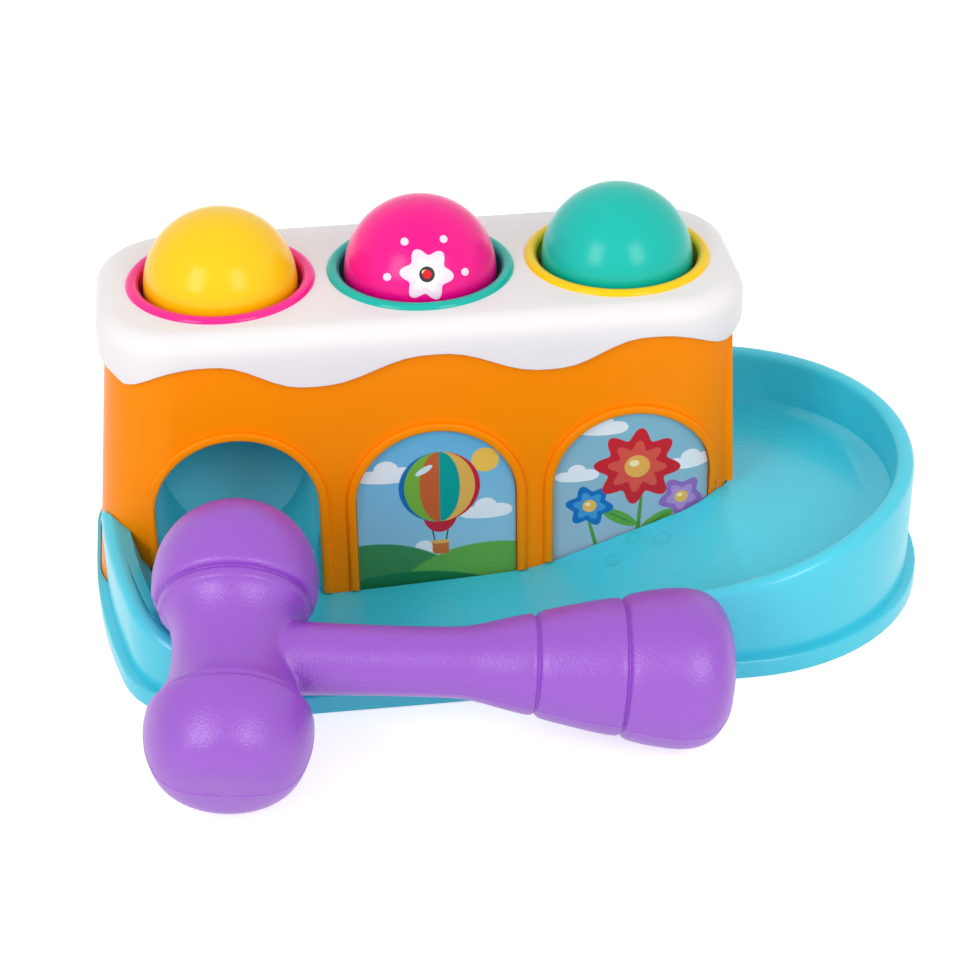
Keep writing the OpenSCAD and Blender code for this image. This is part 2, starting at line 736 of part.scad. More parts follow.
// Half outlines of the mallet: distance along the axis and radius, the head's drawn for drawn_head_r
drawn_head_r = 23;
head_pts = [
    [-45, 0], [-44.6, 4], [-43.4, 8.5], [-41, 13.2], [-37.5, 17.4], [-33, 20.6], [-28.5, 22.3], [-24, 23],
    [-20, 22.8], [-18.2, 22.3], [-17.2, 21.4], [-16.4, 20.6], [-13, 18.9], [-9, 17.5], [-4, 16.6], [0, 16.4],
    [4, 16.6], [8, 17.4], [12, 18.9], [14.6, 20.2], [15.6, 20.9], [16, 20.4], [16.8, 20.4], [17.3, 21.8],
    [18, 22.5], [19.5, 23], [24, 23.2], [28.5, 23], [32.5, 22.1], [37, 20], [41.3, 16.7], [44.9, 12],
    [47.3, 6.4], [48.1, 0]
];
handle_pts = [
    [0, 10.8], [12, 10.6], [18, 10.3], [30, 9.9], [50, 9.8], [62, 9.9], [68, 10.4], [75, 12], [82, 13.7],
    [85, 14.2], [86, 13.8], [86.8, 13.8], [87.8, 14.8], [92, 15.9], [99, 17.5], [106, 18.8], [109.2, 19.3],
    [110.2, 18.8], [111, 18.8], [112, 19.9], [117, 21], [122, 21.8], [126, 22.05], [129.5, 21.6],
    [133, 20.1], [136, 17.4], [138.2, 13.8], [139.6, 9], [140.2, 4], [140.3, 0]
];

// Inside the butt, where the vent in its end starts
butt_x = 100;

// Half outline with its radii times w, t inside the face
module half_outline(pts, w, t) {
    last = len(pts) - 1;
    shrink = 1 - 2 * t / (pts[last][0] - pts[0][0]);
    polygon(concat(
        [[0, pts[0][0] * shrink]],
        [for (p = pts) if (p[1] * w > 2 * t) [p[1] * w - t, p[0] * shrink]],
        [[0, pts[last][0] * shrink]]
    ));
}

module mallet_body(t) {
    rotate([-90, 0, 0]) rotate_extrude() half_outline(head_pts, head_r / drawn_head_r, t);
    translate([t, 0, 0]) rotate([0, 90, 0]) rotate_extrude() half_outline(handle_pts, 1, t);
}

module mallet() {
    place = [mallet_x, mallet_y, mallet_z];
    turn = [head_tilt, handle_droop, head_turn];
    color("mediumorchid") translate(place) rotate(turn) difference() {
        mallet_body(0);
        mallet_body(shell_t);
        translate([butt_x, 0, 0]) rotate([0, 90, 0]) cylinder(r = vent_r, h = reach);
    }
}

module ring_left() { ring(-pitch, "deeppink"); }
module ring_middle() { ring(0, "lightseagreen"); }
module ring_right() { ring(pitch, "gold"); }
module grip_left() { grip(-pitch); }
module grip_middle() { grip(0); }
module grip_right() { grip(pitch); }
module ball_left() { ball(-pitch, "gold"); }
module ball_middle() { ball(0, "deeppink"); }
module ball_right() { ball(pitch, "lightseagreen"); }
module panel_middle() { panel(1); }
module panel_right() { panel(2); }
module label_middle() { label(1); }
module label_right() { label(2); }

track_base();
ball_chute();
inner_ramp();
tower_front_shell();
tower_rear_shell();
top_cap();
ring_left();
ring_middle();
ring_right();
grip_left();
grip_middle();
grip_right();
ball_left();
ball_middle();
ball_right();
panel_middle();
panel_right();
label_middle();
label_right();
base_screws();
shell_screws();
cap_screws();
mallet();
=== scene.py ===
import math

import bmesh
import bpy
from mathutils import Euler, Matrix, Vector


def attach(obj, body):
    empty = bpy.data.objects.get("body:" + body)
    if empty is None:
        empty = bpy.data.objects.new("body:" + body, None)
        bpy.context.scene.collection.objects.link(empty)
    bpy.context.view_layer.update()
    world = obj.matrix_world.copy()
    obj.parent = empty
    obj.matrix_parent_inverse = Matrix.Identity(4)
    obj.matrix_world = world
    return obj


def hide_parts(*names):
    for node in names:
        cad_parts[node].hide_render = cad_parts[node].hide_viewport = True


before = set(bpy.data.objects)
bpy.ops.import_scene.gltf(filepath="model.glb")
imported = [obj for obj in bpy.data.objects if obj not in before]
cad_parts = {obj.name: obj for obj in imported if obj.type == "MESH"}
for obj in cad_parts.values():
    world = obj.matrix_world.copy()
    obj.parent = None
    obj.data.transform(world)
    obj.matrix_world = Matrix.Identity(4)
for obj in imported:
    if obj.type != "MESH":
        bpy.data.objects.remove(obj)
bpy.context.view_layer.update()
scene = bpy.context.scene
scene.view_settings.view_transform = "Standard"
mm = 0.001
print("frame loaded:", len(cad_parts), "nodes")


def srgb(red, green, blue):
    # screen colour 0-255 to the linear colour that sockets take
    def linear(c):
        c /= 255
        return c / 12.92 if c <= 0.04045 else ((c + 0.055) / 1.055) ** 2.4
    return (linear(red), linear(green), linear(blue), 1)


# Camera

cameraView = {     # millimetres and degrees
    "lens": 91.79,
    "sensor": 36,
    "clipStart": 0.01,
    "distance": 779.4,
    "elevation": 31.947,
    "yaw": -6.754,
    "roll": -0.676,
    "target": (17.353, 0, 18.759),
}


def makeCamera():
    yaw, tilt, roll = (math.radians(cameraView[k]) for k in ("yaw", "elevation", "roll"))
    back = Vector((math.sin(yaw) * math.cos(tilt), -math.cos(yaw) * math.cos(tilt), math.sin(tilt)))
    level = Vector((math.cos(yaw), math.sin(yaw), 0))
    upright = back.cross(level)
    right = level * math.cos(roll) + upright * math.sin(roll)
    up = upright * math.cos(roll) - level * math.sin(roll)
    data = bpy.data.cameras.new("photoCamera")
    data.lens = cameraView["lens"]
    data.sensor_width = cameraView["sensor"]
    data.clip_start = cameraView["clipStart"]
    camera = bpy.data.objects.new("photoCamera", data)
    camera.matrix_world = Matrix((right, up, back)).transposed().to_4x4()
    camera.location = (Vector(cameraView["target"]) + back * cameraView["distance"]) * mm
    scene.collection.objects.link(camera)
    scene.camera = camera


makeCamera()
print("camera placed")

# Small helpers for node trees


def newNode(tree, kind, sockets=None, **settings):
    node = tree.nodes.new(kind)
    for name, value in settings.items():
        setattr(node, name, value)
    for name, value in (sockets or {}).items():
        if isinstance(value, bpy.types.NodeSocket):
            tree.links.new(value, node.inputs[name])
        else:
            node.inputs[name].default_value = value
    return node


def calc(tree, operation, first, second=0.0, third=None):
    sockets = {0: first, 1: second}
    if third is not None:
        sockets[2] = third
    return newNode(tree, "ShaderNodeMath", sockets, operation=operation).outputs[0]


def blend(tree, mask, under, over):
    node = newNode(tree, "ShaderNodeMix", {0: mask, 6: under, 7: over}, data_type="RGBA")
    return node.outputs[2]


def newGroup(name, inputs, outputs):
    # inputs and outputs: name to socket kind, with a starting value for inputs
    tree = bpy.data.node_groups.new(name, "ShaderNodeTree")
    for label, (kind, value) in inputs.items():
        socket = tree.interface.new_socket(label, in_out="INPUT", socket_type=kind)
        socket.default_value = value
    for label, kind in outputs.items():
        tree.interface.new_socket(label, in_out="OUTPUT", socket_type=kind)
    return tree, tree.nodes.new("NodeGroupInput"), tree.nodes.new("NodeGroupOutput")


def useGroup(tree, group, sockets):
    return newNode(tree, "ShaderNodeGroup", sockets, node_tree=group)


def placeInMm(tree):
    # object coordinates in millimetres
    place = newNode(tree, "ShaderNodeTexCoord").outputs["Object"]
    scaled = newNode(tree, "ShaderNodeVectorMath", {0: place, 1: (1 / mm,) * 3}, operation="MULTIPLY")
    return scaled.outputs[0]


# Shared surface effects


def makeMouldedSurface():
    # slow colour drift, fine moulding grain and a roughness that follows both
    tree, given, made = newGroup(
        "mouldedSurface",
        {
            "Drift Scale": ("NodeSocketFloat", 18.0),
            "Grain Scale": ("NodeSocketFloat", 1400.0),
            "Rough Low": ("NodeSocketFloat", 0.2),
            "Rough High": ("NodeSocketFloat", 0.3),
        },
        {"Drift": "NodeSocketFloat", "Grain": "NodeSocketFloat", "Roughness": "NodeSocketFloat"},
    )
    place = newNode(tree, "ShaderNodeTexCoord").outputs["Object"]
    drift = newNode(tree, "ShaderNodeTexNoise",
                    {"Vector": place, "Scale": given.outputs["Drift Scale"], "Detail": 3.0})
    grain = newNode(tree, "ShaderNodeTexNoise",
                    {"Vector": place, "Scale": given.outputs["Grain Scale"], "Detail": 2.0})
    fine = calc(tree, "MULTIPLY", grain.outputs[0], 0.3)
    both = calc(tree, "MULTIPLY_ADD", drift.outputs[0], 0.7, fine)     # mostly the drift
    rough = newNode(tree, "ShaderNodeMapRange", {
        "Value": both, "From Min": 0.3, "From Max": 0.7,
        "To Min": given.outputs["Rough Low"], "To Max": given.outputs["Rough High"],
    })
    tree.links.new(drift.outputs[0], made.inputs["Drift"])
    tree.links.new(grain.outputs[0], made.inputs["Grain"])
    tree.links.new(rough.outputs[0], made.inputs["Roughness"])
    return tree


def makePrintedOval():
    # mask of a turned oval on a flat print, in millimetres
    tree, given, made = newGroup(
        "printedOval",
        {
            "Point": ("NodeSocketVector", (0, 0, 0)),
            "Centre": ("NodeSocketVector", (0, 0, 0)),
            "Turn": ("NodeSocketFloat", 0.0),
            "Radii": ("NodeSocketVector", (1, 1, 1)),
            "Petals": ("NodeSocketFloat", 0.0),
            "Wave": ("NodeSocketFloat", 0.0),
        },
        {"Mask": "NodeSocketFloat"},
    )
    moved = newNode(tree, "ShaderNodeVectorMath",
                    {0: given.outputs["Point"], 1: given.outputs["Centre"]}, operation="SUBTRACT")
    turned = newNode(tree, "ShaderNodeVectorRotate",
                     {"Vector": moved.outputs[0], "Angle": given.outputs["Turn"]}, rotation_type="Z_AXIS")
    scaled = newNode(tree, "ShaderNodeVectorMath",
                     {0: turned.outputs[0], 1: given.outputs["Radii"]}, operation="DIVIDE")
    parts = newNode(tree, "ShaderNodeSeparateXYZ", {0: scaled.outputs[0]})
    angle = calc(tree, "ARCTAN2", parts.outputs[1], parts.outputs[0])
    ripple = calc(tree, "COSINE", calc(tree, "MULTIPLY", angle, given.outputs["Petals"]))
    reach = calc(tree, "MULTIPLY_ADD", ripple, given.outputs["Wave"], 1.0)
    flat = newNode(tree, "ShaderNodeCombineXYZ", {0: parts.outputs[0], 1: parts.outputs[1]})
    length = newNode(tree, "ShaderNodeVectorMath", {0: flat.outputs[0]}, operation="LENGTH")
    inside = calc(tree, "SUBTRACT", reach, length.outputs["Value"])
    soft = 0.012     # half the soft edge, as a part of the radius
    mask = newNode(tree, "ShaderNodeMapRange", {"Value": inside, "From Min": -soft, "From Max": soft})
    tree.links.new(mask.outputs[0], made.inputs["Mask"])
    return tree


mouldedSurface = makeMouldedSurface()
printedOval = makePrintedOval()


def startMaterial(name, sockets):
    # a new material with its Principled shader and the plain values set on it
    material = bpy.data.materials.new(name)
    material.use_nodes = True
    tree = material.node_tree
    shader = tree.nodes["Principled BSDF"]
    for label, value in sockets.items():
        shader.inputs[label].default_value = value
    return material, tree, shader


def pinRings(tree, look):
    # height of the faint rings that a mould's pins leave on a floor, in the XY plane
    point = placeInMm(tree)
    height = 0.0
    for x, y, radius in look["pinMarks"]:
        for reach, sign in ((radius, 1.0), (radius - look["pinLine"], -1.0)):
            oval = useGroup(tree, printedOval,
                            {"Point": point, "Centre": (x, y, 0), "Radii": (reach, reach, 1)})
            height = calc(tree, "MULTIPLY_ADD", oval.outputs["Mask"], sign, height)
    return height


def mouldedPlastic(name, look):
    # look: colour, deep (second colour), rough, shine, grain per metre, bump in millimetres
    material, tree, shader = startMaterial(name, {"Specular IOR Level": look["shine"]})
    surface = useGroup(tree, mouldedSurface, {
        "Grain Scale": look.get("grain", 1400.0),
        "Rough Low": look["rough"][0],
        "Rough High": look["rough"][1],
    })
    colour = blend(tree, surface.outputs["Drift"], srgb(*look["deep"]), srgb(*look["colour"]))
    bump = newNode(tree, "ShaderNodeBump", {
        "Height": surface.outputs["Grain"], "Distance": look["bump"] * mm, "Strength": 1.0,
    })
    if "pinMarks" in look:
        bump = newNode(tree, "ShaderNodeBump", {
            "Height": pinRings(tree, look), "Distance": look["pinDepth"] * mm, "Strength": 1.0,
            "Normal": bump.outputs[0],
        })
    tree.links.new(colour, shader.inputs["Base Color"])
    tree.links.new(surface.outputs["Roughness"], shader.inputs["Roughness"])
    tree.links.new(bump.outputs[0], shader.inputs["Normal"])
    return material


plastics = {
    "baseBlue": {"colour": (70, 212, 234), "deep": (60, 204, 227), "rough": (0.22, 0.29),
                 "shine": 0.68, "bump": 0.0006, "pinDepth": 0.2, "pinLine": 0.5,
                 # middle and radius of each
                 "pinMarks": [(52.6, -44.8, 2.5), (52.2, -46.3, 1.4),
                              (68.1, -42.7, 2.5), (60.0, -38.2, 2.5)]},
    # the base's blue made lighter for the chute: painted light that brightens its walls inside the arch
    "chuteBluePaintedLight": {"colour": (84, 222, 242), "deep": (74, 214, 236), "rough": (0.2, 0.27),
                  "shine": 0.5, "bump": 0.0006},
    "towerOrange": {"colour": (255, 146, 0), "deep": (255, 138, 0), "rough": (0.26, 0.34),
                    "shine": 0.1, "bump": 0.001},
    "capWhite": {"colour": (244, 240, 240), "deep": (240, 235, 235), "rough": (0.3, 0.38),
                 "shine": 0.15, "bump": 0.001},
    "ringPink": {"colour": (255, 34, 150), "deep": (250, 26, 142), "rough": (0.12, 0.18),
                 "shine": 0.35, "bump": 0.001},
    "ringTeal": {"colour": (0, 188, 174), "deep": (0, 181, 166), "rough": (0.12, 0.18),
                 "shine": 0.35, "bump": 0.001},
    "ringYellow": {"colour": (255, 212, 0), "deep": (255, 206, 0), "rough": (0.12, 0.18),
                   "shine": 0.25, "bump": 0.001},
    "ballYellow": {"colour": (255, 208, 0), "deep": (255, 202, 0), "rough": (0.2, 0.25),
                   "shine": 0.32, "bump": 0.001},
    "ballTeal": {"colour": (0, 194, 180), "deep": (0, 187, 172), "rough": (0.2, 0.25),
                 "shine": 0.32, "bump": 0.001},
    "malletPurple": {"colour": (150, 71, 201), "deep": (144, 64, 195), "rough": (0.31, 0.37),
                     "shine": 1.0, "bump": 0.17, "grain": 1550.0},
    "softGrip": {"colour": (138, 126, 124), "deep": (124, 113, 112), "rough": (0.55, 0.7),
                 "shine": 0.5, "bump": 0.02},
}
finish = {name: mouldedPlastic(name, look) for name, look in plastics.items()}
print("plastics made:", len(finish))

# Prints: plain shapes laid over each other, in millimetres on the print


def flatPrint(tree, middle):
    # place on an upright print, from its middle: X to the right, Y up
    place = newNode(tree, "ShaderNodeTexCoord").outputs["Object"]
    parts = newNode(tree, "ShaderNodeSeparateXYZ", {0: place})
    across = calc(tree, "MULTIPLY_ADD", parts.outputs[0], 1 / mm, -middle[0])
    height = calc(tree, "MULTIPLY_ADD", parts.outputs[2], 1 / mm, -middle[1])
    return newNode(tree, "ShaderNodeCombineXYZ", {0: across, 1: height}).outputs[0]


def paintShapes(tree, point, under, shapes):
    # each shape: at, size, colour, and where it needs them turn, petals and wave
    for shape in shapes:
        oval = useGroup(tree, printedOval, {
            "Point": point, "Centre": (*shape["at"], 0), "Radii": (*shape["size"], 1),
            "Turn": math.radians(shape.get("turn", 0)),
            "Petals": shape.get("petals", 0), "Wave": shape.get("wave", 0),
        })
        under = blend(tree, oval.outputs["Mask"], under, srgb(*shape["colour"]))
    return under


def paintSky(tree, point, look):
    # paler towards the ground
    bottom, top = look["span"]
    height = newNode(tree, "ShaderNodeSeparateXYZ", {0: point}).outputs[1]
    rise = newNode(tree, "ShaderNodeMapRange", {"Value": height, "From Min": bottom, "From Max": top})
    return blend(tree, rise.outputs[0], srgb(*look["low"]), srgb(*look["high"]))


def paintStripes(tree, point, under, ball):
    # upright stripes that follow the round of a ball
    middle, radius = ball["at"], ball["radius"]
    moved = newNode(tree, "ShaderNodeVectorMath", {0: point, 1: (*middle, 0)}, operation="SUBTRACT")
    parts = newNode(tree, "ShaderNodeSeparateXYZ", {0: moved.outputs[0]})
    high = calc(tree, "DIVIDE", parts.outputs[1], radius)
    bulge = calc(tree, "MULTIPLY_ADD", high, calc(tree, "MULTIPLY", high, -1.0), 1.0)
    width = calc(tree, "SQRT", calc(tree, "MAXIMUM", bulge, 0.0004))     # never 0 at the poles
    across = calc(tree, "DIVIDE", calc(tree, "DIVIDE", parts.outputs[0], radius), width)
    held = calc(tree, "MINIMUM", calc(tree, "MAXIMUM", across, -0.999), 0.999)
    turn = calc(tree, "MULTIPLY_ADD", calc(tree, "ARCSINE", held), 1 / math.pi, 0.5)
    ramp = newNode(tree, "ShaderNodeValToRGB", {0: turn})
    ramp.color_ramp.interpolation = "CONSTANT"
    stops = ramp.color_ramp.elements
    count = len(ball["stripes"])
    for index, colour in enumerate(ball["stripes"]):
        if index > 1:
            stops.new(index / count)
        stops[index].position = index / count
        stops[index].color = srgb(*colour)
    disc = useGroup(tree, printedOval,
                    {"Point": point, "Centre": (*middle, 0), "Radii": (radius, radius, 1)})
    return blend(tree, disc.outputs["Mask"], under, ramp.outputs[0])


def cloudShapes(x, y, size, colour):
    # a flat-bottomed puff of four ovals
    puffs = [(-0.75, 0.0, 0.62, 0.34), (0.0, 0.3, 0.58, 0.52),
             (0.7, 0.05, 0.66, 0.4), (0.0, -0.14, 1.2, 0.26)]
    return [{"at": (x + dx * size, y + dy * size), "size": (w * size, h * size), "colour": colour}
            for dx, dy, w, h in puffs]


def flowerShapes(x, y, size, petals, colours, turn=0):
    # outer petals, inner petals, centre and a light spot
    outer, inner, centre = colours
    petal = {"at": (x, y), "petals": petals, "turn": turn}
    return [
        {**petal, "size": (size, size), "wave": 0.17, "colour": outer},
        {**petal, "size": (size * 0.66,) * 2, "wave": 0.2, "colour": inner},
        {"at": (x, y), "size": (size * 0.34,) * 2, "colour": centre},
        {"at": (x - size * 0.08, y + size * 0.1), "size": (size * 0.14, size * 0.1),
         "colour": (250, 232, 176)},
    ]


def leafShapes(x, y, turn, size, colours):
    return [
        {"at": (x, y), "size": (size, size * 0.36), "turn": -turn, "colour": colours[0]},
        {"at": (x, y), "size": (size * 0.82, size * 0.05), "turn": -turn, "colour": colours[1]},
    ]


def spotRing(x, y, radius, size, colour):
    # six spots round a middle
    turns = [math.radians(turn) for turn in range(30, 390, 60)]
    return [{"at": (x + radius * math.sin(turn), y + radius * math.cos(turn)),
             "size": (size, size), "colour": colour} for turn in turns]


paleCloud = (236, 240, 244)
leafGreens = ((96, 166, 66), (70, 138, 60))
balloonPrint = {
    "middle": (0, 34.6),
    "sky": {"low": (152, 200, 222), "high": (104, 182, 222), "span": (-20.0, 20.0)},
    "behind": [
        {"at": (15, 12.5), "size": (4.2, 4.2), "colour": (244, 196, 84)},
        *cloudShapes(-15, 9, 6.5, paleCloud), *cloudShapes(15, -6, 6, paleCloud),
        *cloudShapes(-4, -19, 5, paleCloud),
        {"at": (-20, -37), "size": (30, 22), "colour": (64, 140, 84)},
        {"at": (17, -40), "size": (32, 23), "colour": (104, 172, 76)},
        {"at": (-8, -48), "size": (40, 22), "colour": (26, 122, 74)},
        {"at": (-1.2, -12.4), "size": (0.22, 5.2), "turn": -9, "colour": (62, 62, 70)},
        {"at": (3.2, -12.4), "size": (0.22, 5.2), "turn": 9, "colour": (62, 62, 70)},
        {"at": (1, -5), "size": (5.4, 7.2), "colour": (196, 36, 56)},
        {"at": (1, -17.6), "size": (2.9, 2.7), "petals": 4, "wave": 0.12, "turn": 45,
         "colour": (206, 112, 54)},
        {"at": (1, -15.7), "size": (3.2, 0.7), "colour": (236, 176, 90)},
    ],
    "ball": {
        "at": (1, 4), "radius": 12.4,
        "stripes": [(24, 110, 178), (120, 178, 62), (204, 96, 48),
                    (10, 158, 150), (230, 178, 84), (196, 36, 56)],
    },
    "glint": [{"at": (-3.6, 10.2), "size": (3.0, 1.0), "turn": -32, "colour": (214, 234, 232)}],
}
flowerPrint = {
    "middle": (60, 35.7),
    "sky": {"low": (158, 186, 204), "high": (134, 186, 206), "span": (-20.0, 20.0)},
    "behind": [
        *cloudShapes(-9, 19, 5.5, paleCloud), *cloudShapes(18, 5, 5.5, paleCloud),
        *cloudShapes(-17, 3, 5, paleCloud),
        {"at": (2, -20), "size": (0.7, 17), "turn": 4, "colour": (84, 150, 66)},
        {"at": (-11, -22), "size": (0.6, 12), "turn": -14, "colour": (84, 150, 66)},
        {"at": (14, -21), "size": (0.6, 12), "turn": 14, "colour": (84, 150, 66)},
        *leafShapes(-3.6, -13, 150, 6, leafGreens), *leafShapes(8, -15, 35, 6, leafGreens),
        *leafShapes(17, -19, 60, 4.5, leafGreens),
        *flowerShapes(-13, -8, 6.4, 6, ((26, 112, 184), (70, 150, 206), (240, 186, 88)), 10),
        *flowerShapes(15.5, -7, 6.2, 5, ((150, 108, 184), (178, 142, 206), (240, 186, 88)), 20),
        *flowerShapes(1.5, 5, 11.5, 8, ((206, 36, 48), (224, 84, 72), (238, 176, 84)), 5),
    ],
}
ballPrint = {
    "colour": (255, 2, 146), "deep": (248, 0, 138), "rough": (0.2, 0.26), "shine": 0.3,
    "middle": (0, 0, 95), "lift": 27.0,     # the ball's middle, and how far the print is turned up
    "shapes": [
        *flowerShapes(0, -1.5, 6.8, 6, ((250, 226, 240), (255, 244, 250), (54, 50, 52)), 8),
        {"at": (0, -1.5), "size": (1.3, 1.3), "colour": (232, 20, 34)},
        *spotRing(0, -1.5, 11.5, 1.15, (250, 226, 240)),
    ],
}
clearFilm = {"rough": (0.3, 0.4), "shine": 0.2, "drift": 60.0, "tone": (0.94, 1.02)}
steelPlate = {"colour": (206, 206, 204), "deep": (168, 168, 166), "rough": (0.22, 0.42),
              "drift": 300.0, "grain": 4000.0}


def printedFilm(name, look):
    # a printed label under a thin clear film
    material, tree, shader = startMaterial(name, {"Specular IOR Level": clearFilm["shine"]})
    point = flatPrint(tree, look["middle"])
    colour = paintShapes(tree, point, paintSky(tree, point, look["sky"]), look["behind"])
    if "ball" in look:
        colour = paintStripes(tree, point, colour, look["ball"])
        colour = paintShapes(tree, point, colour, look["glint"])
    surface = useGroup(tree, mouldedSurface, {
        "Drift Scale": clearFilm["drift"],
        "Rough Low": clearFilm["rough"][0],
        "Rough High": clearFilm["rough"][1],
    })
    darkest, lightest = clearFilm["tone"]
    tone = newNode(tree, "ShaderNodeMapRange",
                   {"Value": surface.outputs["Drift"], "To Min": darkest, "To Max": lightest})
    toned = newNode(tree, "ShaderNodeMix", {0: 1.0, 6: colour, 7: tone.outputs[0]},
                    data_type="RGBA", blend_type="MULTIPLY")
    tree.links.new(toned.outputs[2], shader.inputs["Base Color"])
    tree.links.new(surface.outputs["Roughness"], shader.inputs["Roughness"])
    return material


def printedBall(name, look):
    # magenta plastic with a small print on the side that faces front
    material, tree, shader = startMaterial(name, {"Specular IOR Level": look["shine"]})
    moved = newNode(tree, "ShaderNodeVectorMath", {0: placeInMm(tree), 1: look["middle"]},
                    operation="SUBTRACT")
    turned = newNode(tree, "ShaderNodeVectorRotate",
                     {"Vector": moved.outputs[0], "Angle": math.radians(look["lift"] - 90)},
                     rotation_type="X_AXIS")
    surface = useGroup(tree, mouldedSurface,
                       {"Rough Low": look["rough"][0], "Rough High": look["rough"][1]})
    plain = blend(tree, surface.outputs["Drift"], srgb(*look["deep"]), srgb(*look["colour"]))
    drawn = paintShapes(tree, turned.outputs[0], plain, look["shapes"])
    parts = newNode(tree, "ShaderNodeSeparateXYZ", {0: turned.outputs[0]})
    faces = calc(tree, "GREATER_THAN", parts.outputs[2], 0.0)
    tree.links.new(blend(tree, faces, plain, drawn), shader.inputs["Base Color"])
    tree.links.new(surface.outputs["Roughness"], shader.inputs["Roughness"])
    return material


def platedSteel(name, look):
    material, tree, shader = startMaterial(name, {"Metallic": 1.0})
    surface = useGroup(tree, mouldedSurface, {
        "Drift Scale": look["drift"],
        "Grain Scale": look["grain"],
        "Rough Low": look["rough"][0],
        "Rough High": look["rough"][1],
    })
    colour = blend(tree, surface.outputs["Drift"], srgb(*look["deep"]), srgb(*look["colour"]))
    tree.links.new(colour, shader.inputs["Base Color"])
    tree.links.new(surface.outputs["Roughness"], shader.inputs["Roughness"])
    return material


finish["balloonPrint"] = printedFilm("balloonPrint", balloonPrint)
finish["flowerPrint"] = printedFilm("flowerPrint", flowerPrint)
finish["ballMagenta"] = printedBall("ballMagenta", ballPrint)
finish["platedSteel"] = platedSteel("platedSteel", steelPlate)
print("prints and steel made")

# Stage

studio = {
    "floorSize": 6.0,
    "floorDrop": 0.0002,     # just clear of the base's underside
    "floorColour": (0.8, 0.8, 0.8, 1),
    "floorRough": 0.9,
    "floorGlow": 0.6,
    "fill": 0.755,
    "leftLamp": {"place": (-0.62, -0.66, 0.54), "size": (0.36, 0.56), "power": 2.7},
    "rightLamp": {"place": (0.44, -0.90, 0.60), "size": (0.36, 0.56), "power": 2.6},
    "aim": (0.0, 0.0, 0.06),
}


def seenBackground(tree):
    # 1 where the camera, or a mirror or glass, looks at the background
    path = newNode(tree, "ShaderNodeLightPath")
    both = calc(tree, "MAXIMUM", path.outputs["Is Camera Ray"], path.outputs["Is Glossy Ray"])
    return calc(tree, "MAXIMUM", both, path.outputs["Is Transmission Ray"])


def makeStage():
    bpy.ops.object.select_all(action="DESELECT")
    bpy.ops.mesh.primitive_plane_add(size=studio["floorSize"], location=(0, 0, -studio["floorDrop"]))
    floor = bpy.context.object
    floor.name = "studioFloor"
    material, tree, shader = startMaterial("paleFloor", {
        "Base Color": studio["floorColour"], "Roughness": studio["floorRough"],
        "Specular IOR Level": 0.0, "Emission Color": (1, 1, 1, 1),
    })
    glow = calc(tree, "MULTIPLY", seenBackground(tree), studio["floorGlow"])
    tree.links.new(glow, shader.inputs["Emission Strength"])
    floor.data.materials.append(material)
    world = bpy.data.worlds.new("studioWorld")
    world.use_nodes = True
    scene.world = world
    sky = world.node_tree.nodes["Background"]
    sky.inputs["Color"].default_value = (1, 1, 1, 1)
    tree = world.node_tree
    strength = newNode(tree, "ShaderNodeMapRange",
                       {"Value": seenBackground(tree), "To Min": studio["fill"], "To Max": 1.0})
    tree.links.new(strength.outputs[0], sky.inputs["Strength"])
    for name in ("leftLamp", "rightLamp"):
        lamp = studio[name]
        data = bpy.data.lights.new(name, "AREA")
        data.shape = "RECTANGLE"
        data.size, data.size_y = lamp["size"]
        data.energy = lamp["power"]
        box = bpy.data.objects.new(name, data)
        box.location = lamp["place"]
        towards = Vector(studio["aim"]) - box.location
        box.rotation_euler = towards.to_track_quat("-Z", "Y").to_euler()
        scene.collection.objects.link(box)


makeStage()
print("stage lit")

# Moulded pieces, taken over from the frame with their edges rounded

touching = 0.01     # millimetres that count as the same place


def activate(piece):
    bpy.ops.object.select_all(action="DESELECT")
    piece.select_set(True)
    bpy.context.view_layer.objects.active = piece


def finishPiece(piece, look):
    # look: body, finish and slot (the slot is not used), with the nodes that the piece stands for
    piece.data.materials.clear()
    piece.data.materials.append(finish[look["finish"]])
    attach(piece, look["body"])
    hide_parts(*look["nodes"])


def takeOver(node, look):
    # a merged copy of a node's mesh, its flat faces made whole
    piece = bpy.data.objects.new(look["name"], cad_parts[node].data.copy())
    scene.collection.objects.link(piece)
    activate(piece)
    bpy.ops.mesh.customdata_custom_splitnormals_clear()
    bpy.ops.object.mode_set(mode="EDIT")
    bpy.ops.mesh.select_all(action="SELECT")
    bpy.ops.mesh.remove_doubles(threshold=touching * mm)
    bpy.ops.mesh.dissolve_limited(angle_limit=math.radians(look["flat"]))
    bpy.ops.object.mode_set(mode="OBJECT")
    return piece


def selectIn(piece, kind, wanted):
    # edit mode, with the edges or vertices that pass the test selected
    activate(piece)
    bpy.ops.object.mode_set(mode="EDIT")
    bpy.ops.mesh.select_mode(type=kind)
    bpy.ops.mesh.select_all(action="DESELECT")
    shape = bmesh.from_edit_mesh(piece.data)
    shape.normal_update()
    for item in shape.edges if kind == "EDGE" else shape.verts:
        item.select_set(wanted(item))
    shape.select_flush_mode()
    bmesh.update_edit_mesh(piece.data)


def softenEdges(piece, wanted, folds, width, segments=4):
    # rounds the outer edges folded by folds degrees, from and to, whose two ends pass the test
    def chosen(edge):
        folded = math.degrees(edge.calc_face_angle(0))
        return (edge.is_convex and folds[0] < folded < folds[1]
                and all(wanted(vert.co / mm) for vert in edge.verts))
    selectIn(piece, "EDGE", chosen)
    bpy.ops.mesh.bevel(offset=width * mm, segments=segments, profile=0.5, affect="EDGES",
                       clamp_overlap=False)
    bpy.ops.object.mode_set(mode="OBJECT")


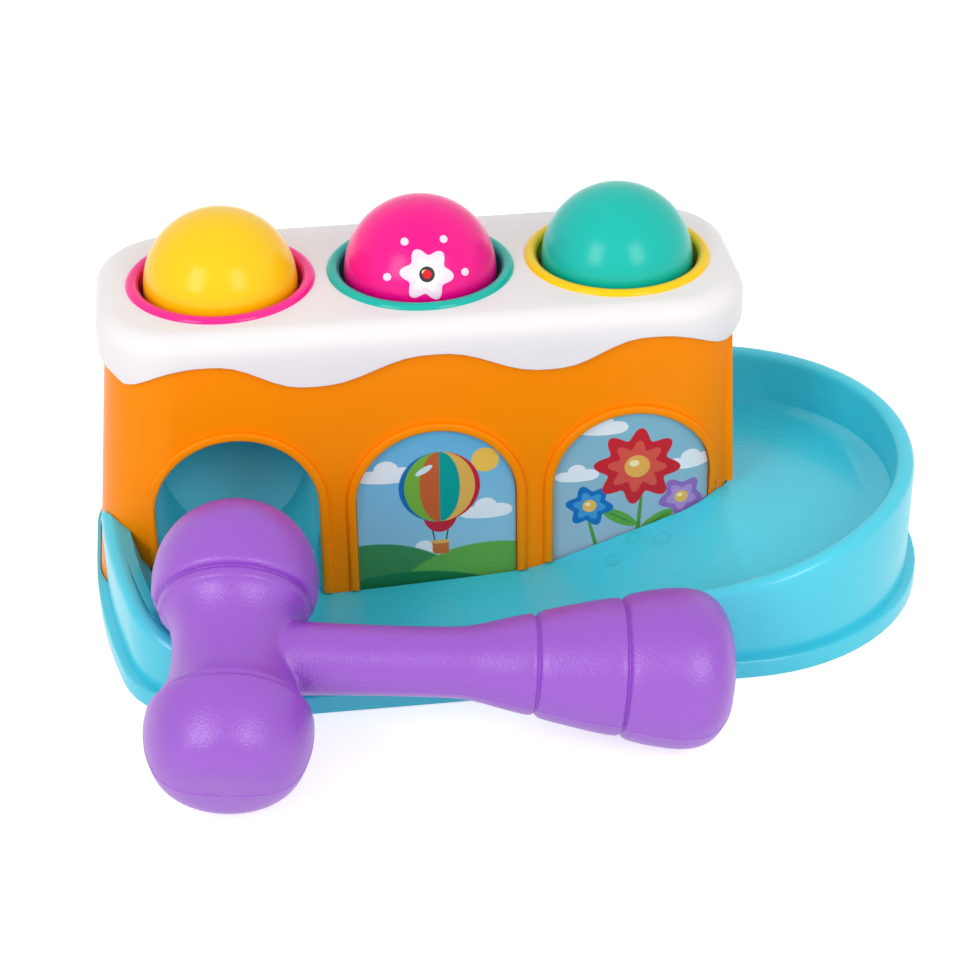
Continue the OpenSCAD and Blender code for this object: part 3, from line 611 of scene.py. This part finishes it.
trackBase = {
    "name": "trackBase", "nodes": ["track_base"], "body": "bench", "finish": "baseBlue",
    "slot": "base_blue", "flat": 0.3, "smooth": 38,
    "flangeTop": 5.8, "flangeWithin": 0.1, "flangeFolds": (60, 120), "flangeRound": 0.8,
    "flangeNarrow": (-80, -24),     # behind and left of this the flange keeps its edge
    "crestAbove": 16, "crestFolds": (20, 39), "crestRound": 0.42,
    # the fence's crest at the left end: middle, radius and directions of its two arcs
    "crestArcs": [(-67.3, -59.45, 24.7, 195.2, 262), (117.3, -9.25, 216.0, 182.0, 195.2)],
    "crestHeights": [(182, 31.2), (184, 31.0), (195, 28.5), (215, 26.0),
                     (240, 22.2), (258, 19.9), (270, 19.4)],
    # the crest's inner side bends over into the swept floor, up to where the floor leaves it
    "shoulder": {"bend": 2.0, "slope": 0.4, "reach": 9.0, "crestSide": 2.4, "crestLift": 1.2,
                 "leaves": (208, 222)},
}


def heightAt(table, where):
    # straight between the entries of a table
    for (start, low), (end, high) in zip(table, table[1:]):
        if start <= where <= end:
            return low + (high - low) * (where - start) / (end - start)


def tuckSweep(piece, look):
    # the swept floor and the crest that it runs up to are drawn on to one smooth shoulder
    shoulder = look["shoulder"]
    bend, slope = shoulder["bend"], shoulder["slope"]
    firstLeaving, lastLeaving = shoulder["leaves"]
    for vert in piece.data.vertices:
        point = vert.co / mm
        for middleX, middleY, radius, first, last in look["crestArcs"]:
            direction = math.degrees(math.atan2(point.y - middleY, point.x - middleX)) % 360
            inward = radius - math.hypot(point.x - middleX, point.y - middleY)
            if not (first <= direction < last and 0 < inward < shoulder["reach"]):
                continue
            if inward < bend:
                curve = slope * inward ** 2 / (2 * bend)
            else:
                curve = slope * (inward - bend / 2)
            drawn = heightAt(look["crestHeights"], direction) - curve
            if point.z > drawn:
                vert.co.z = drawn * mm
            elif inward < shoulder["crestSide"] and point.z > drawn - shoulder["crestLift"]:
                part = min(max((lastLeaving - direction) / (lastLeaving - firstLeaving), 0), 1)
                vert.co.z = (point.z + part * (drawn - point.z)) * mm


def makeTrackBase(look):
    piece = takeOver("track_base", look)
    narrowX, narrowY = look["flangeNarrow"]

    def onFlange(point):
        level = abs(point.z - look["flangeTop"]) < look["flangeWithin"]
        return level and (point.x > narrowX or point.y < narrowY)

    softenEdges(piece, onFlange, look["flangeFolds"], look["flangeRound"], 3)
    tuckSweep(piece, look)
    softenEdges(piece, lambda point: point.z > look["crestAbove"],
                look["crestFolds"], look["crestRound"], 2)
    bpy.ops.object.shade_smooth_by_angle(angle=math.radians(look["smooth"]))
    finishPiece(piece, look)


towerFront = {
    "name": "towerFront", "nodes": ["tower_front_shell"], "body": "bench", "finish": "towerOrange",
    "slot": "tower_orange", "flat": 0.3, "smooth": 36,
    "face": -34.5,           # the front wall
    "rim": 1.3,              # a rim's edge stands at least this far off the wall
    "rimAhead": -5,          # and in front of this
    "rimFolds": (40, 140), "rimRound": 0.8, "sliver": 0.06,
    "rightCorner": {"x": 73.5, "y": -12.5, "radius": 22.0},
    "leftCorner": {"x": -74.0, "height": 76.0, "lean": 5.8, "y": -12.3, "radius": 22.2},
}


def offTowerWall(point):
    # how far a point in millimetres stands off the wall, round both corners
    right, left = towerFront["rightCorner"], towerFront["leftCorner"]
    leftX = left["x"] - (left["height"] - point.z) * math.tan(math.radians(left["lean"]))
    if point.x > right["x"]:
        return math.hypot(point.x - right["x"], point.y - right["y"]) - right["radius"]
    if point.x < leftX:
        return math.hypot(point.x - leftX, point.y - left["y"]) - left["radius"]
    return towerFront["face"] - point.y


def makeTowerFront(look):
    piece = takeOver("tower_front_shell", look)
    softenEdges(piece, lambda point: point.y < look["rimAhead"] and offTowerWall(point) > look["rim"],
                look["rimFolds"], look["rimRound"])
    bpy.ops.object.mode_set(mode="EDIT")
    bpy.ops.mesh.select_all(action="SELECT")
    bpy.ops.mesh.remove_doubles(threshold=look["sliver"] * mm)
    bpy.ops.object.mode_set(mode="OBJECT")
    bpy.ops.object.shade_smooth_by_angle(angle=math.radians(look["smooth"]))
    finishPiece(piece, look)


wavyCap = {
    "name": "wavyCap", "nodes": ["top_cap"], "body": "bench", "finish": "capWhite",
    "slot": "cap_white", "flat": 0.3, "smooth": 34,
    "edgeBelow": 88.0, "edgeOff": -0.4, "edgeFolds": (60, 140), "edgeRound": 0.45,
}


def makeWavyCap(look):
    piece = takeOver("top_cap", look)
    softenEdges(piece, lambda point: offTowerWall(point) > look["edgeOff"] and point.z < look["edgeBelow"],
                look["edgeFolds"], look["edgeRound"], 3)
    bpy.ops.object.shade_smooth_by_angle(angle=math.radians(look["smooth"]))
    finishPiece(piece, look)


makeTrackBase(trackBase)
makeTowerFront(towerFront)
makeWavyCap(wavyCap)
print("mouldings finished")

# Screws: the frame's, with rounded heads and a cross cut into each

screwLook = {
    "body": "bench", "finish": "platedSteel", "slot": "screw_steel", "flat": 0.3, "smooth": 40,
    "headFace": 0.05, "headFolds": (60, 120), "headRound": 0.5,
    "slotAcross": 3.0, "slotWidth": 0.65, "slotDepth": 1.0,
}
screwSets = [
    {**screwLook, "name": "baseScrews", "nodes": ["base_screws"], "facing": (0, 0, -1)},
    {**screwLook, "name": "shellScrews", "nodes": ["shell_screws"], "facing": (0, 1, 0)},
    {**screwLook, "name": "capScrews", "nodes": ["cap_screws"], "facing": (0, 0, -1)},
]


def cutCross(piece, middles, facing, look):
    # two bars at each middle, as deep as they reach below the head's face
    bars = []
    axes = [Vector(axis) for axis in ((1, 0, 0), (0, 1, 0), (0, 0, 1))]
    sideways = [axis for axis in axes if axis.dot(facing) == 0]
    for middle in middles:
        for along, across in (sideways, sideways[::-1]):
            size = (along * look["slotAcross"] + across * look["slotWidth"]
                    + Vector([abs(part) for part in facing]) * 2 * look["slotDepth"]) * mm
            bpy.ops.object.select_all(action="DESELECT")
            bpy.ops.mesh.primitive_cube_add(size=1, location=middle, scale=size)
            bars.append(bpy.context.object)
    activate(bars[0])
    for bar in bars:
        bar.select_set(True)
    bpy.ops.object.join()
    cutter = bpy.context.object
    activate(piece)
    cut = piece.modifiers.new("cut", "BOOLEAN")
    cut.operation, cut.object, cut.solver, cut.use_self = "DIFFERENCE", cutter, "EXACT", True
    bpy.ops.object.modifier_apply(modifier=cut.name)
    bpy.data.objects.remove(cutter)


def makeScrews(look):
    piece = takeOver(look["nodes"][0], look)
    facing = Vector(look["facing"])
    outermost = max(vert.co.dot(facing) for vert in piece.data.vertices)
    middles = [face.center.copy() for face in piece.data.polygons
               if face.normal.dot(facing) > 0.99 and outermost - face.center.dot(facing) < touching * mm]
    softenEdges(piece, lambda point: point.dot(facing) > outermost / mm - look["headFace"],
                look["headFolds"], look["headRound"], 3)
    cutCross(piece, middles, facing, look)
    bpy.ops.object.shade_smooth_by_angle(angle=math.radians(look["smooth"]))
    finishPiece(piece, look)
    return len(middles)


print("screw heads cut:", sum(makeScrews(look) for look in screwSets))

# Mallet: head and handle raised ring by ring, then joined

mallet = {
    "name": "toyMallet", "nodes": ["mallet"], "body": "loose_mallet", "finish": "malletPurple",
    "slot": "mallet_purple", "smooth": 50,
    "place": (-64.5, -104.2, 32.8), "turn": (24.1, 4.62, -4.1),
    "sides": 48, "rounding": 2,
    # distance along the axis and radius
    "head": [
        (-42.8, 1.0), (-42.7, 6.0), (-42.4, 10.0), (-41.5, 13.6), (-39.8, 16.7), (-37.3, 19.2),
        (-34.0, 21.0), (-30.0, 22.3), (-26.0, 22.9), (-22.0, 23.0), (-19.2, 22.8), (-17.9, 22.4),
        (-17.5, 21.6), (-17.1, 20.8), (-16.5, 20.4), (-15.6, 20.5), (-14.8, 20.1), (-12.4, 18.7),
        (-9.0, 17.5), (-4.5, 16.6), (0.0, 16.4), (4.5, 16.6), (8.5, 17.5), (11.4, 18.9),
        (13.0, 20.1), (13.4, 20.8), (13.9, 21.1), (15.4, 21.2), (16.0, 21.2), (16.4, 20.9),
        (16.7, 20.6), (17.0, 21.0), (17.2, 22.0), (17.6, 22.6), (18.2, 22.9), (19.8, 23.2),
        (24.0, 23.3), (28.5, 23.1), (32.5, 22.2), (37.0, 20.1), (41.3, 16.8), (44.9, 12.1),
        (47.3, 6.4), (48.0, 1.0),
    ],
    "handle": [
        (4.0, 10.6), (12.0, 10.6), (18.0, 10.3), (24.0, 10.1), (32.0, 9.9), (44.0, 9.8),
        (55.0, 9.8), (60.5, 9.9), (64.5, 10.2), (68.0, 10.8), (73.0, 12.1), (77.5, 13.2),
        (81.0, 14.0), (82.8, 14.2), (83.5, 13.9), (83.8, 13.5), (84.1, 13.5), (84.4, 14.1),
        (85.0, 14.7), (86.4, 15.3), (90.0, 16.1), (96.5, 17.6), (102.5, 18.8), (106.0, 19.3),
        (107.3, 19.3), (107.8, 19.0), (108.1, 18.6), (108.4, 18.6), (108.7, 19.3), (109.3, 20.0),
        (110.7, 20.6), (115.0, 21.6), (120.5, 22.4), (125.0, 22.75), (129.0, 22.4), (132.6, 21.2),
        (135.6, 18.7), (137.9, 14.8), (139.3, 9.6), (139.9, 4.4), (139.95, 1.6), (139.7, 1.0),
        (138.1, 0.9),
    ],
    "seamWithin": 0.001, "seamWidth": 0.5, "seamRise": 0.32,
    "neck": {"waist": 16.4, "flare": 0.0145, "reach": 2.4, "inner": 9.2, "outer": 12.8,
             "weld": 0.08, "ease": 0.5, "passes": 10},
}


def turnedBody(name, profile, look):
    # a body of revolution along X, with a raised moulding seam in the level plane
    bpy.ops.object.select_all(action="DESELECT")
    start, radius = profile[0]
    bpy.ops.mesh.primitive_circle_add(vertices=look["sides"], radius=radius * mm, fill_type="NGON",
                                      location=(start * mm, 0, 0), rotation=(0, math.pi / 2, 0))
    body = bpy.context.object
    body.name = name
    bpy.ops.object.transform_apply(location=True, rotation=True, scale=True)
    bpy.ops.object.mode_set(mode="EDIT")
    bpy.ops.mesh.select_all(action="SELECT")
    for (start, radius), (along, nextRadius) in zip(profile, profile[1:]):
        bpy.ops.mesh.extrude_region_move(TRANSFORM_OT_translate={"value": ((along - start) * mm, 0, 0)})
        ratio = nextRadius / radius
        bpy.ops.transform.resize(value=(1, ratio, ratio), center_override=(along * mm, 0, 0))
    bpy.ops.mesh.select_all(action="SELECT")
    bpy.ops.mesh.normals_make_consistent(inside=False)
    bpy.ops.object.mode_set(mode="OBJECT")

    def onSeam(edge):
        return all(abs(vert.co.z) < look["seamWithin"] * mm for vert in edge.verts)

    selectIn(body, "EDGE", onSeam)
    bpy.ops.mesh.bevel(offset=look["seamWidth"] / 2 * mm, segments=2, affect="EDGES", clamp_overlap=False)
    bpy.ops.object.mode_set(mode="OBJECT")
    selectIn(body, "EDGE", onSeam)
    bpy.ops.transform.shrink_fatten(value=look["seamRise"] * mm)
    bpy.ops.object.mode_set(mode="OBJECT")
    smooth = body.modifiers.new("smooth", "SUBSURF")
    smooth.levels = smooth.render_levels = look["rounding"]
    bpy.ops.object.modifier_apply(modifier=smooth.name)
    return body


def makeMallet(look):
    handle = turnedBody("malletHandle", look["handle"], look)
    head = turnedBody(look["name"], look["head"], look)
    head.rotation_euler = (0, 0, math.pi / 2)
    activate(head)
    bpy.ops.object.transform_apply(location=True, rotation=True, scale=True)
    union = head.modifiers.new("union", "BOOLEAN")
    union.operation, union.object, union.solver = "UNION", handle, "EXACT"
    bpy.ops.object.modifier_apply(modifier=union.name)
    bpy.data.objects.remove(handle)
    neck = look["neck"]

    def nearNeck(vert):
        # the corner between the waist and the handle, which is drawn smooth
        x, y, z = vert.co / mm
        waist = neck["waist"] + neck["flare"] * y * y
        meets = math.sqrt(max(waist * waist - z * z, 0))
        return abs(x - meets) < neck["reach"] and neck["inner"] < math.hypot(y, z) < neck["outer"]

    selectIn(head, "VERT", nearNeck)
    bpy.ops.mesh.remove_doubles(threshold=neck["weld"] * mm)
    bpy.ops.object.mode_set(mode="OBJECT")
    selectIn(head, "VERT", nearNeck)
    bpy.ops.mesh.vertices_smooth(factor=neck["ease"], repeat=neck["passes"])
    bpy.ops.object.mode_set(mode="OBJECT")
    head.location = Vector(look["place"]) * mm
    head.rotation_euler = Euler([math.radians(angle) for angle in look["turn"]])
    bpy.ops.object.transform_apply(location=True, rotation=True, scale=True)
    bpy.ops.object.shade_smooth_by_angle(angle=math.radians(look["smooth"]))
    finishPiece(head, look)


makeMallet(mallet)
print("mallet finished")

# Nodes whose shape stays as it is

keptNodes = {
    # the chute takes the lighter copy of the base's blue, with painted light inside the arch
    "ball_chute": "chuteBluePaintedLight", "inner_ramp": "baseBlue", "tower_rear_shell": "towerOrange",
    "ring_left": "ringPink", "ring_middle": "ringTeal", "ring_right": "ringYellow",
    "grip_left": "softGrip", "grip_middle": "softGrip", "grip_right": "softGrip",
    "ball_left": "ballYellow", "ball_middle": "ballMagenta", "ball_right": "ballTeal",
    "panel_middle": "capWhite", "panel_right": "capWhite",
    "label_middle": "balloonPrint", "label_right": "flowerPrint",
}
for node, material in keptNodes.items():
    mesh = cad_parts[node].data
    mesh.materials.clear()
    mesh.materials.append(finish[material])
print("kept nodes finished:", len(keptNodes))
